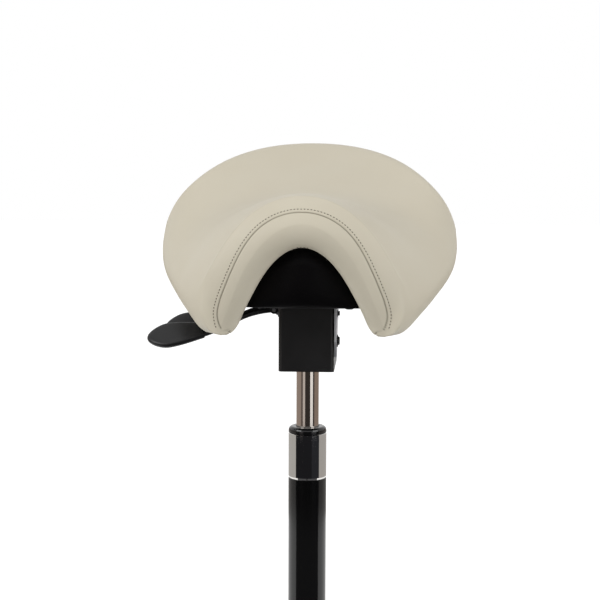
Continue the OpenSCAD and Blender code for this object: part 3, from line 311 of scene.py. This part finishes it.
def spline(row, t):
    """A smooth curve through evenly spaced values, at t from 0 to 1."""
    last = len(row) - 1
    x = min(max(t, 0.0), 1.0) * last
    i = min(last - 1, int(x))
    f = x - i
    p1, p2 = row[i], row[i + 1]
    p0 = row[i - 1] if i > 0 else 2 * p1 - p2
    p3 = row[i + 2] if i + 2 <= last else 2 * p2 - p1
    return 0.5 * (2 * p1 + (p2 - p0) * f + (2 * p0 - 5 * p1 + 4 * p2 - p3) * f * f
                  + (3 * p1 - p0 - 3 * p2 + p3) * f ** 3)


class Saddle:
    """The saddle's surface: arches from the nose to the back, with padding on both sides."""

    # Half angle of the arch at the nose and at the back, how much the back's sides swell, and how late a row
    # leaves the middle's y for the rim's
    arch_front = math.radians(70)
    arch_back = math.radians(88)
    bulge = 0.4
    lean = 2.3
    # Sharpness of the plan's corners at the nose and at the back, and of the square that they are cut from
    corner_front = 7.3
    corner_back = 4.0
    corner_outer = 24.0
    # Fullness of the roll at the rims and at the nose, the height of the ridge along the nose's roll, and its
    # width as a share of the padding above the middle surface
    roll_power = 2.4
    ridge_power = 1.3
    ridge_rise = 0.0009
    ridge_wide = 0.11
    # How sharply the rims meet, the distance from a rim to the middle in metres, and a small step in a and b
    blend = 4.0
    half = 0.19
    step = 0.001

    def __init__(self, sizes):
        self.crest = sizes.crest
        self.reach = sizes.reach
        self.span = sizes.span
        self.width = sizes.width
        self.drop = sizes.drop
        self.padding = sizes.padding

    def middle(self, a, t):
        """Point of the middle surface: a across from -1 to 1, t from the nose to the back."""
        mid_y = spline(MID_Y_SHARES, t) * self.span - self.reach
        rim_y = spline(RIM_Y_SHARES, t) * self.span - self.reach
        half_w = spline(HALF_W_SHARES, t) * self.width / 2
        mid_z = spline(MID_Z_SHARES, t) * self.drop
        rim_z = spline(RIM_Z_SHARES, t) * self.drop
        span = self.arch_front + (self.arch_back - self.arch_front) * t
        k = self.bulge * t
        turn = a * span
        side = (math.sin(turn) * (1 + k * math.cos(turn) ** 2)
                / (math.sin(span) * (1 + k * math.cos(span) ** 2)))
        fall = (1 - math.cos(turn)) / (1 - math.cos(span))
        y = mid_y + (rim_y - mid_y) * abs(side) ** self.lean
        return Vector((half_w * side, y, self.crest + mid_z + (rim_z - mid_z) * fall))

    def up(self, a, t):
        """Direction of the padding's thickness there."""
        e = self.step
        across = self.middle(a + e, t) - self.middle(a - e, t)
        along = self.middle(a, min(1, t + e)) - self.middle(a, max(0, t - e))
        return across.cross(along).normalized()

    def rounded(self, a, b):
        """The place (a, b) of the square with its corners rounded."""
        m = max(abs(a), abs(b))
        if m < self.step:
            return a, b
        u, v = abs(a) / m, abs(b) / m
        p = self.corner_front if b < 0 else self.corner_back
        o = self.corner_outer
        q = (u ** o + v ** o) ** (1 / o) / (u ** p + v ** p) ** (1 / p)
        return a * q, b * q

    def point(self, a, b, side, inset=0.0):
        """Point of the padding's face: side is 1 on top and -1 below."""
        ra, rb = self.rounded(a, b)
        s = 1 - inset / self.half
        t = (rb * s + 1) / 2
        r = spline(THICK_SHARES, t) * self.padding / 2
        low = self.step * self.step
        powers = [max(d * self.half, low) ** -self.blend for d in (1 - abs(a), 1 + b, 1 - b)]
        total = sum(powers)
        d = total ** (-1 / self.blend)
        nose = powers[1] / total if side > 0 else 0.0
        power = self.roll_power + (self.ridge_power - self.roll_power) * nose
        on_rim = min(1 - abs(a), 1 - abs(b)) <= 1e-9
        rise = 0.0 if on_rim else (1 - (1 - min(d / r, 1.0)) ** power) ** (1 / power)
        ridge = self.ridge_rise * nose * math.exp(-((d / r - 1) / self.ridge_wide) ** 2)
        return self.middle(ra * s, t) + self.up(ra * s, t) * (side * (r - inset) * rise + ridge)

    def facing(self, a, b, side):
        """Outward direction of the padding's face."""
        e = self.step
        along = self.point(a, b + e, side) - self.point(a, b - e, side)
        across = self.point(a + e, b, side) - self.point(a - e, b, side)
        return across.cross(along).normalized() * side

    def front(self, a, d):
        """Place and outward direction at a signed distance d from the front rim, positive on top."""
        side = 1 if d >= 0 else -1
        b = -1 + abs(d) / self.half
        return self.point(a, b, side), self.facing(a, b, side)


def seam_place(sizes, a):
    """Signed distance of the nose seam from the front rim."""
    return spline(SEAM_SHARES, abs(a)) * sizes.seam


def steps(*marks):
    """Distances from 0 up to each mark, evenly spaced at about the mark's own step."""
    places = [0.0]
    for end, step in marks:
        start = places[-1]
        count = max(1, round((end - start) / step))
        places += [start + (end - start) * k / count for k in range(1, count + 1)]
    return places


def both_ways(low, high, half):
    """Grid places from -1 to 1 from the distances to the two rims."""
    return [-1 + d / half for d in low] + [1 - d / half for d in reversed(high[:-1])]


def ring(bm, count, place):
    """A closed ring of points, each put by place() from its share of the way round. Returns its edges."""
    made = bmesh.ops.create_circle(bm, segments=count, radius=1.0)["verts"]
    edges = list({e for v in made for e in v.link_edges})
    for v in made:
        v.co = place((math.atan2(v.co.y, v.co.x) / math.tau) % 1.0)
    return edges


def loft(bm, rings, low_cap=True):
    """Skin between rings, with a face on the last and, where it is asked for, on the first."""
    for one, two in zip(rings, rings[1:]):
        bmesh.ops.bridge_loops(bm, edges=one + two)
    if low_cap:
        bmesh.ops.contextual_create(bm, geom=rings[0])
    bmesh.ops.contextual_create(bm, geom=rings[-1])


def add_mesh(bm, name, material):
    """Turn a bmesh into an object of the scene."""
    mesh = bpy.data.meshes.new(name)
    bm.to_mesh(mesh)
    bm.free()
    mesh.materials.append(material)
    obj = bpy.data.objects.new(name, mesh)
    bpy.context.scene.collection.objects.link(obj)
    return obj


def piece(bm, name, body, material, sharp=None):
    """Turn a bmesh into a smooth-shaded piece that rides on a body."""
    bmesh.ops.remove_doubles(bm, verts=bm.verts, dist=1e-6)
    bmesh.ops.recalc_face_normals(bm, faces=bm.faces)
    obj = add_mesh(bm, name, material)
    obj.data.shade_smooth()
    if sharp:
        obj.data.set_sharp_from_angle(angle=math.radians(sharp))
    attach(obj, body)
    return obj


def give_wall(obj, thickness):
    """Thicken a piece's skin inwards."""
    wall = obj.modifiers.new("wall", "SOLIDIFY")
    wall.thickness = thickness
    wall.offset = -1.0


class STOOL_OT_seat_cover(bpy.types.Operator):
    """Upholstery with its rolled rim, nose seam and tuck"""

    bl_idname = "stool.seat_cover"
    bl_label = "Seat cover"

    def execute(self, context):
        sizes = context.scene.stool_seat
        saddle = Saddle(sizes)
        half = saddle.half
        side_lines = steps(*SIDE_GRID, (sizes.tuck, TUCK_STEP), (half, MIDDLE_STEP))
        nose_lines = steps(*NOSE_GRID, (sizes.tuck, TUCK_STEP), (half, MIDDLE_STEP))
        across = both_ways(side_lines, side_lines, half)
        along = both_ways(nose_lines, side_lines, half)
        columns = len(across) - 1
        rows = len(along) - 1
        fine_reach = NOSE_GRID[0][0]
        seam_reach = 0.996
        seam_points = 1600
        groove_ends = 3
        small = 1e-6
        merge = 2e-5
        seam = kdtree.KDTree(seam_points + 1)
        for k in range(seam_points + 1):
            a = seam_reach * (2 * k / seam_points - 1)
            seam.insert(saddle.front(a, seam_place(sizes, a))[0], k)
        seam.balance()
        bm = bmesh.new()
        # Share of painted shade for each vertex, highest in the seam's groove
        seam_shade = bm.verts.layers.float.new("seam_shade")
        # The upper face is whole, and the lower one ends at the tuck
        keep = 1 - sizes.tuck / half - small
        for side in (1, -1):
            made = bmesh.ops.create_grid(bm, x_segments=columns, y_segments=rows, size=1.0)["verts"]
            inner = []
            for v in made:
                i = round((v.co.x + 1) / 2 * columns)
                j = round((v.co.y + 1) / 2 * rows)
                a, b = across[i], along[j]
                if side < 0 and max(abs(a), abs(b)) < keep:
                    inner.append(v)
                    continue
                v.co = saddle.point(a, b, side)
                # Near the seam the cover sinks into its groove, where a darker colour is mixed in as painted
                # shade
                if (1 + b) * half < fine_reach and max(abs(a), abs(b)) < 1:
                    away = seam.find(v.co)[2] / sizes.seam_wide
                    if away < groove_ends:
                        v[seam_shade] = math.exp(-away * away)
                        v.co -= saddle.facing(a, b, side) * (sizes.seam_depth * v[seam_shade])
            bmesh.ops.delete(bm, geom=inner, context="VERTS")
        bmesh.ops.remove_doubles(bm, verts=bm.verts, dist=merge)
        bmesh.ops.recalc_face_normals(bm, faces=bm.faces)
        top = max(bm.faces, key=lambda f: f.calc_center_median().z)
        if top.normal.z < 0:
            bmesh.ops.reverse_faces(bm, faces=bm.faces)
        obj = add_mesh(bm, "cover", finish("coated_cloth"))
        obj.data.shade_smooth()
        give_wall(obj, sizes.cover)
        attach(obj, "seat")
        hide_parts("seat_cover")
        return {"FINISHED"}


def stitches(bm, saddle, sizes, path, reach):
    """Short stitches along a path of signed distances from the front rim, up to a = reach on each side."""
    count = 600
    flatness = 0.7
    places = [-reach + 2 * reach * k / count for k in range(count + 1)]
    points = [saddle.front(a, path(a))[0] for a in places]
    run = 0.0
    due = sizes.stitch_pitch / 2
    for k in range(1, count + 1):
        gone = (points[k] - points[k - 1]).length
        while run + gone >= due:
            f = (due - run) / gone
            a = places[k - 1] + (places[k] - places[k - 1]) * f
            there, out = saddle.front(a, path(a))
            along = (points[k] - points[k - 1]).normalized()
            over = out.cross(along).normalized()
            turn = Matrix((along, over, along.cross(over))).transposed().to_4x4()
            size = Matrix.Diagonal((sizes.stitch_long / 2, sizes.thread, sizes.thread * flatness, 1))
            made = bmesh.ops.create_icosphere(bm, subdivisions=1, radius=1.0)["verts"]
            place = Matrix.Translation(there + out * sizes.stitch_lift)
            bmesh.ops.transform(bm, matrix=place @ turn @ size, verts=made)
            due += sizes.stitch_pitch
        run += gone


class STOOL_OT_stitching(bpy.types.Operator):
    """Stitch row along the nose and flaps, and the short closing row under the arch"""

    bl_idname = "stool.stitching"
    bl_label = "Stitching"

    def execute(self, context):
        sizes = context.scene.stool_seat
        saddle = Saddle(sizes)
        nose_reach = 0.97
        arch_reach = 0.11
        bm = bmesh.new()
        stitches(bm, saddle, sizes, lambda a: seam_place(sizes, a) + sizes.stitch_row, nose_reach)
        stitches(bm, saddle, sizes, lambda a: -sizes.arch_row, arch_reach)
        piece(bm, "nose_stitches", "seat", finish("thread"))
        return {"FINISHED"}


class STOOL_OT_underpan(bpy.types.Operator):
    """Moulded tray under the seat"""

    bl_idname = "stool.underpan"
    bl_label = "Underpan"

    def execute(self, context):
        sizes = context.scene.stool_pan
        seat = context.scene.stool_seat
        saddle = Saddle(seat)
        floor_z = seat.crest - sizes.depth
        lim_a = 1 - sizes.side_rim / saddle.half
        lim_b = 1 - sizes.end_rim / saddle.half
        count = 160
        bands = 10
        fullness = 3.2

        def square(share):
            turn = share * math.tau
            x, y = math.cos(turn), math.sin(turn)
            m = max(abs(x), abs(y))
            return x / m, y / m

        def upper(share):
            x, y = square(share)
            return saddle.point(x * lim_a, y * lim_b, -1, -sizes.overlap)

        def lower(share):
            x, y = saddle.rounded(*square(share))
            mid = (sizes.back - sizes.front) / 2
            return Vector((x * sizes.half_width, mid + y * (sizes.front + sizes.back) / 2, floor_z))

        def band(m):
            c = math.cos(math.pi / 2 * m / bands) ** (2 / fullness)
            s = math.sin(math.pi / 2 * m / bands) ** (2 / fullness)

            def place(share):
                top, foot = upper(share), lower(share)
                return Vector((foot.x + (top.x - foot.x) * c, foot.y + (top.y - foot.y) * c,
                               top.z + (foot.z - top.z) * s))
            return place

        bm = bmesh.new()
        loft(bm, [ring(bm, count, band(m)) for m in range(bands + 1)], low_cap=False)
        obj = piece(bm, "underpan", "seat", finish("pan"), sharp=50)
        give_wall(obj, sizes.wall)
        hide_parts("under_pan")
        return {"FINISHED"}


def paddle(bm, sizes, tip):
    """A tongue-shaped blade with a rounded edge and a crowned face, from its tip towards the rod."""
    def outline(size, height):
        def place(share):
            way = (1 + math.cos(math.pi * abs(1 - 2 * share))) / 2
            side = 1 if share < 0.5 else -1
            return Vector((way * sizes.paddle_long * size + sizes.paddle_long * (1 - size) / 2,
                           side * spline(LEAF_SHARES, math.sqrt(way)) * sizes.paddle_wide / 2 * size,
                           height * sizes.paddle_thick))
        return place

    count = 72
    loft(bm, [ring(bm, count, outline(*s)) for s in LEAF_SECTIONS])
    turn = Matrix.Rotation(-sizes.slope, 4, "Y") @ Matrix.Rotation(sizes.lean, 4, "X")
    bmesh.ops.transform(bm, matrix=Matrix.Translation(tip) @ turn, verts=bm.verts)


class STOOL_OT_levers(bpy.types.Operator):
    """The two levers' paddles"""

    bl_idname = "stool.levers"
    bl_label = "Levers"

    def execute(self, context):
        sizes = context.scene.stool_levers
        for name, body, reach, y, z in LEVERS:
            bm = bmesh.new()
            paddle(bm, sizes, Vector((-reach, y, z - sizes.paddle_long * math.sin(sizes.slope) / 4)))
            obj = piece(bm, name + "_lever_paddle", body, finish("paddle"), sharp=60)
            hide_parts(name + "_paddle")
        return {"FINISHED"}


class STOOL_OT_finishes(bpy.types.Operator):
    """Finishes of the frame's own parts"""

    bl_idname = "stool.finishes"
    bl_label = "Finishes"

    def execute(self, context):
        for name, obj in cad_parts.items():
            if name.startswith("castor_") and "_wheel_" in name:
                kind = "wheel"
            elif name.startswith("castor_") and name.endswith("_housing"):
                kind = "castor"
            elif name.startswith("castor_") and name.endswith("_axle"):
                kind = "steel"
            else:
                kind = CAD_FINISHES[name]
            obj.data.materials.clear()
            obj.data.materials.append(finish(kind))
        return {"FINISHED"}


def lamp(name, place, target, size, power):
    """A square soft lamp that faces its target."""
    data = bpy.data.lights.new(name, "AREA")
    data.shape = "SQUARE"
    data.size = size
    data.energy = power
    obj = bpy.data.objects.new(name, data)
    obj.location = place
    obj.rotation_euler = (Vector(target) - Vector(place)).to_track_quat("-Z", "Y").to_euler()
    bpy.context.scene.collection.objects.link(obj)


def seen(tree):
    """1 for the rays that show the backdrop, straight, mirrored or through glass."""
    path = add(tree, "ShaderNodeLightPath")
    some = add(tree, "ShaderNodeMath", {0: path.outputs["Is Camera Ray"], 1: path.outputs["Is Glossy Ray"]},
               operation="ADD", use_clamp=True)
    every = add(tree, "ShaderNodeMath", {0: some.outputs[0], 1: path.outputs["Is Transmission Ray"]},
                operation="ADD", use_clamp=True)
    return every.outputs[0]


def card(name, start, end, near, far, colour, strength=1.0):
    """A studio card that only glossy surfaces show. It goes round the column from start to end in degrees,
    and near and far give its two edges' distance and height."""
    bm = bmesh.new()
    foot = bm.verts.new((0, -near[0], near[1]))
    head = bm.verts.new((0, -far[0], far[1]))
    edge = bm.edges.new((foot, head))
    bmesh.ops.rotate(bm, verts=bm.verts, matrix=Matrix.Rotation(math.radians(start), 3, "Z"))
    bmesh.ops.spin(bm, geom=[foot, head, edge], axis=(0, 0, 1), angle=math.radians(end - start), steps=24)
    paper = surface(name + "_paper", "#000000", patch=0.4, rough=1.0, **{
        "Specular IOR Level": 0.0, "Emission Color": linear(colour), "Emission Strength": strength})
    obj = add_mesh(bm, name, paper)
    obj.visible_camera = False
    obj.visible_diffuse = False
    obj.visible_shadow = False


def lay_floor(sizes):
    """White paper on the floor, with light of its own, on which the stool's shadow still shows."""
    half_side = 6.0
    bm = bmesh.new()
    bmesh.ops.create_grid(bm, x_segments=1, y_segments=1, size=half_side)
    paper = surface("white_paper_floor", "#d2d2d1", "#cfcfce", 0.4, 0.9,
                    **{"Emission Color": linear("#ffffff")})
    tree = paper.node_tree
    glow = add(tree, "ShaderNodeMath", {0: seen(tree), 1: sizes.floor_glow}, operation="MULTIPLY")
    shader = next(n for n in tree.nodes if n.type == "BSDF_PRINCIPLED")
    tree.links.new(glow.outputs[0], shader.inputs["Emission Strength"])
    ground = add_mesh(bm, "floor", paper)


def hang_cards():
    """Cards for the chromed pieces to mirror, in two rows round the column."""
    around = 1.2
    low = (around, 0.0)
    middle = (around, 0.161)
    high = (around, 0.6)
    # The collar shows a dark room with pale walls at the sides
    card("left_wall_card", -180, -71, low, middle, "#c9c6c2")
    card("dark_card", -71, 29, low, middle, "#222225")
    card("dim_card", 29, 77, low, middle, "#2f3034")
    card("right_wall_card", 77, 180, low, middle, "#c0bcb8")
    # Its lower edge shows the floor in front
    card("floor_card", -67, 73, (0.09, 0.002), (around, 0.002), "#5c5c5e")
    # The cylinder shows two pale strips, each with a dark line beside it
    card("left_high_card", -152, -67, middle, high, "#b5a69d")
    card("left_line_card", -67, -46, middle, high, "#7a706a")
    card("left_strip_card", -46, -23, middle, high, "#eae1dc")
    card("middle_card", -23, 29, middle, high, "#423e3b")
    card("right_strip_card", 29, 57, middle, high, "#ffffff", 1.35)
    card("right_line_card", 57, 74, middle, high, "#4a4542")
    card("right_high_card", 74, 152, middle, high, "#a5958a")
    # A white card behind lights what is seen almost edge on
    card("back_card", 152, 208, middle, high, "#ffffff", 1.3)


def light_studio(sizes):
    """Even light from a white room, and three soft lamps."""
    world = bpy.data.worlds.new("studio")
    world.use_nodes = True
    bpy.context.scene.world = world
    tree = world.node_tree
    tree.nodes.clear()
    light = add(tree, "ShaderNodeBackground", {"Color": linear("#ffffff"), "Strength": sizes.ambient})
    white = add(tree, "ShaderNodeBackground", {"Color": linear("#ffffff"), "Strength": 1.0})
    both = add(tree, "ShaderNodeMixShader", {0: seen(tree), 1: light.outputs[0], 2: white.outputs[0]})
    add(tree, "ShaderNodeOutputWorld", {"Surface": both.outputs[0]})

    seat = (0, 0, 0.62)
    nose = (0, -0.1, 0.62)
    lamp("left_lamp", (-1.75, -1.2, 1.45), seat, 1.2, sizes.key)
    lamp("right_lamp", (1.75, -1.2, 1.35), seat, 1.2, sizes.fill)
    lamp("top_lamp", (0, -0.5, 2.6), nose, 1.4, sizes.top)


def aim_camera(sizes):
    """A view nearly square to the nose and a little from above, through a long lens."""
    back = Vector((math.sin(sizes.azimuth) * math.cos(sizes.elevation),
                   -math.cos(sizes.azimuth) * math.cos(sizes.elevation), math.sin(sizes.elevation)))
    data = bpy.data.cameras.new("camera")
    data.lens = sizes.lens
    data.sensor_width = sizes.sensor
    data.clip_end = 50.0
    camera = bpy.data.objects.new("camera", data)
    bpy.context.scene.collection.objects.link(camera)
    camera.location = Vector(sizes.target) + back * sizes.distance
    camera.rotation_mode = "QUATERNION"
    camera.rotation_quaternion = (-back).to_track_quat("-Z", "Y") @ Quaternion((0, 0, 1), sizes.roll)
    bpy.context.scene.camera = camera


class STOOL_OT_stage(bpy.types.Operator):
    """Floor, studio light, cards and camera"""

    bl_idname = "stool.stage"
    bl_label = "Stage"

    def execute(self, context):
        context.scene.view_settings.view_transform = "Standard"
        sizes = context.scene.stool_stage
        lay_floor(sizes)
        hang_cards()
        light_studio(sizes)
        aim_camera(sizes)
        return {"FINISHED"}


class STOOL_PT_panel(bpy.types.Panel):
    """Lists the stool's pieces and sizes"""

    bl_idname = "STOOL_PT_panel"
    bl_label = "Saddle Stool"
    bl_space_type = "VIEW_3D"
    bl_region_type = "UI"
    bl_category = "Stool"

    def draw(self, context):
        for operator in OPERATORS:
            self.layout.operator(operator.bl_idname)
        for group in GROUPS:
            settings = getattr(context.scene, group)
            box = self.layout.box()
            for name in settings.__annotations__:
                box.prop(settings, name)


OPERATORS = (STOOL_OT_stage, STOOL_OT_finishes, STOOL_OT_seat_cover, STOOL_OT_stitching, STOOL_OT_underpan,
             STOOL_OT_levers)
GROUPS = {"stool_seat": StoolSeatSettings, "stool_pan": StoolPanSettings, "stool_levers": StoolLeverSettings,
          "stool_finish": StoolFinishSettings, "stool_stage": StoolStageSettings}


def register():
    """Add the settings, operators and panel to Blender."""
    for cls in (*GROUPS.values(), *OPERATORS, STOOL_PT_panel):
        bpy.utils.register_class(cls)
    for name, cls in GROUPS.items():
        setattr(bpy.types.Scene, name, PointerProperty(type=cls))


def unregister():
    """Take them away again."""
    for name in GROUPS:
        delattr(bpy.types.Scene, name)
    for cls in reversed((*GROUPS.values(), *OPERATORS, STOOL_PT_panel)):
        bpy.utils.unregister_class(cls)


def main():
    """Dress the frame."""
    register()
    bpy.ops.stool.stage()
    bpy.ops.stool.finishes()
    bpy.ops.stool.seat_cover()
    bpy.ops.stool.stitching()
    bpy.ops.stool.underpan()
    bpy.ops.stool.levers()


if __name__ == "__main__":
    main()
